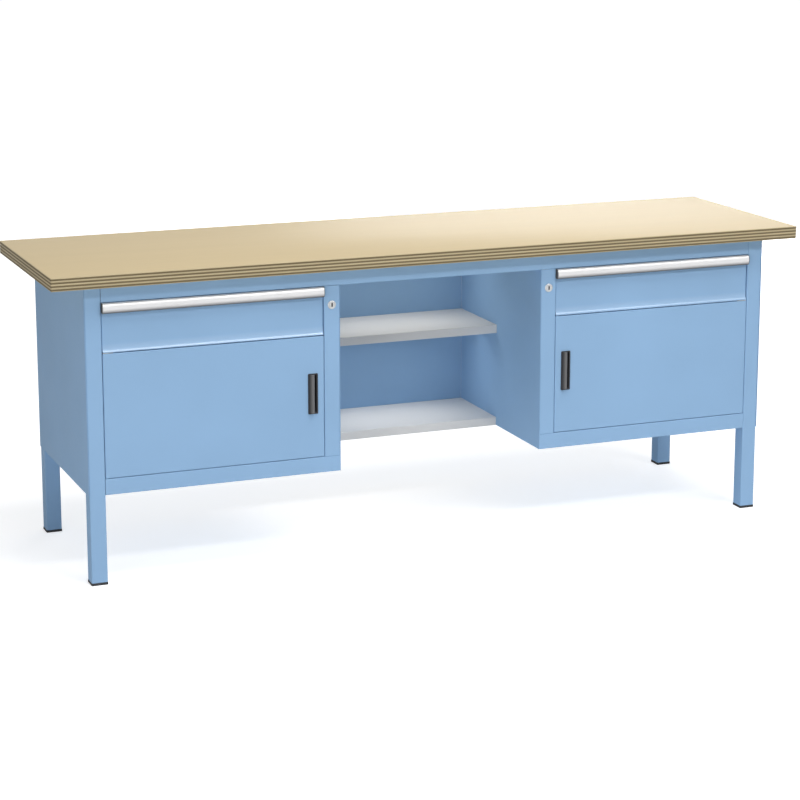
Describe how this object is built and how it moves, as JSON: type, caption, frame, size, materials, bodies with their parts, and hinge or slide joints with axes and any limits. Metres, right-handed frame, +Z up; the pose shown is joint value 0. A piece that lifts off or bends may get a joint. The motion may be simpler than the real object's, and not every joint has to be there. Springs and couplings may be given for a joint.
{
  "type": "workbench",
  "caption": "Workshop bench: plywood worktop on a steel body, with a lockable drawer over a hinged door in each pedestal and half-deep open shelves between them.",
  "frame": {"origin": "on the floor, under the middle of the worktop", "axes": "+X to the right along the bench as its user faces it, +Y to the back, +Z up"},
  "size_m": [2.5, 0.7, 0.96],
  "materials": {
    "worktop": "clear-oiled glued plywood with bare layered edges",
    "blue_paint": "satin powder coat, mid blue",
    "grey_paint": "satin powder coat, light grey",
    "handle_aluminium": "fine-brushed clear anodised",
    "black_plastic": "fine-grained moulded black",
    "zinc_steel": "bright zinc plate",
    "lock_chrome": "nickel-plated turned metal"
  },
  "bodies": {
    "bench": {"worktop": "worktop", "front_top_rail": "blue_paint", "rear_top_rail": "blue_paint", "bay_back_panel": "blue_paint", "bay_shelf_upper": "grey_paint", "bay_shelf_lower": "grey_paint", "leg_front_left": "blue_paint", "leg_front_right": "blue_paint", "leg_rear_left": "blue_paint", "leg_rear_right": "blue_paint", "foot_front_left": "black_plastic", "foot_front_right": "black_plastic", "foot_rear_left": "black_plastic", "foot_rear_right": "black_plastic", "left_outer_side": "blue_paint", "left_inner_side": "blue_paint", "left_back": "blue_paint", "left_floor": "blue_paint", "left_bottom_rail": "blue_paint", "left_lock_stile": "blue_paint", "left_divider": "blue_paint", "left_upper_pivot": "zinc_steel", "left_magnet_catch": "black_plastic", "left_slide_fixed_outer": "zinc_steel", "left_slide_fixed_inner": "zinc_steel", "left_lock_housing": "lock_chrome", "right_outer_side": "blue_paint", "right_inner_side": "blue_paint", "right_back": "blue_paint", "right_floor": "blue_paint", "right_bottom_rail": "blue_paint", "right_lock_stile": "blue_paint", "right_divider": "blue_paint", "right_upper_pivot": "zinc_steel", "right_magnet_catch": "black_plastic", "right_slide_fixed_outer": "zinc_steel", "right_slide_fixed_inner": "zinc_steel", "right_lock_housing": "lock_chrome"},
    "left_drawer": {"left_drawer_box": "grey_paint", "left_drawer_front": "blue_paint", "left_drawer_handle": "handle_aluminium", "left_drawer_slide_outer": "zinc_steel", "left_drawer_slide_inner": "zinc_steel"},
    "left_runners": {"left_slide_middle_outer": "zinc_steel", "left_slide_middle_inner": "zinc_steel"},
    "left_door": {"left_door_panel": "blue_paint", "left_door_pull": "black_plastic"},
    "left_lock": {"left_lock_core": "lock_chrome"},
    "left_bolts": {"left_lock_bar": "zinc_steel"},
    "right_drawer": {"right_drawer_box": "grey_paint", "right_drawer_front": "blue_paint", "right_drawer_handle": "handle_aluminium", "right_drawer_slide_outer": "zinc_steel", "right_drawer_slide_inner": "zinc_steel"},
    "right_runners": {"right_slide_middle_outer": "zinc_steel", "right_slide_middle_inner": "zinc_steel"},
    "right_door": {"right_door_panel": "blue_paint", "right_door_pull": "black_plastic"},
    "right_lock": {"right_lock_core": "lock_chrome"},
    "right_bolts": {"right_lock_bar": "zinc_steel"}
  },
  "joints": [
    {"name": "left_drawer_slide", "type": "slide", "parent": "bench", "child": "left_drawer", "axis": [0, -1, 0], "range_m": [0, 0.5]},
    {"name": "left_runner_slide", "type": "slide", "parent": "bench", "child": "left_runners", "axis": [0, -1, 0], "range_m": [0, 0.25]},
    {"name": "left_door_hinge", "type": "hinge", "parent": "bench", "child": "left_door", "pos_m": [-1.0872, -0.3055, 0.523], "axis": [0, 0, -1], "range_deg": [0, 100]},
    {"name": "left_lock_turn", "type": "hinge", "parent": "bench", "child": "left_lock", "pos_m": [-0.3678, -0.31, 0.81], "axis": [0, 1, 0], "range_deg": [0, 90]},
    {"name": "left_bolt_slide", "type": "slide", "parent": "bench", "child": "left_bolts", "axis": [-1, 0, 0], "range_m": [0, 0.012]},
    {"name": "right_drawer_slide", "type": "slide", "parent": "bench", "child": "right_drawer", "axis": [0, -1, 0], "range_m": [0, 0.5]},
    {"name": "right_runner_slide", "type": "slide", "parent": "bench", "child": "right_runners", "axis": [0, -1, 0], "range_m": [0, 0.25]},
    {"name": "right_door_hinge", "type": "hinge", "parent": "bench", "child": "right_door", "pos_m": [1.0872, -0.3055, 0.523], "axis": [0, 0, 1], "range_deg": [0, 100]},
    {"name": "right_lock_turn", "type": "hinge", "parent": "bench", "child": "right_lock", "pos_m": [0.3678, -0.31, 0.81], "axis": [0, -1, 0], "range_deg": [0, 90]},
    {"name": "right_bolt_slide", "type": "slide", "parent": "bench", "child": "right_bolts", "axis": [1, 0, 0], "range_m": [0, 0.012]}
  ],
  "couplings": [
    {"joint": "left_runner_slide", "follows": "left_drawer_slide", "ratio": 0.5},
    {"joint": "left_lock_turn", "follows": "left_bolt_slide", "rad_per_m": 130.89},
    {"joint": "right_runner_slide", "follows": "right_drawer_slide", "ratio": 0.5},
    {"joint": "right_lock_turn", "follows": "right_bolt_slide", "rad_per_m": 130.89}
  ]
}
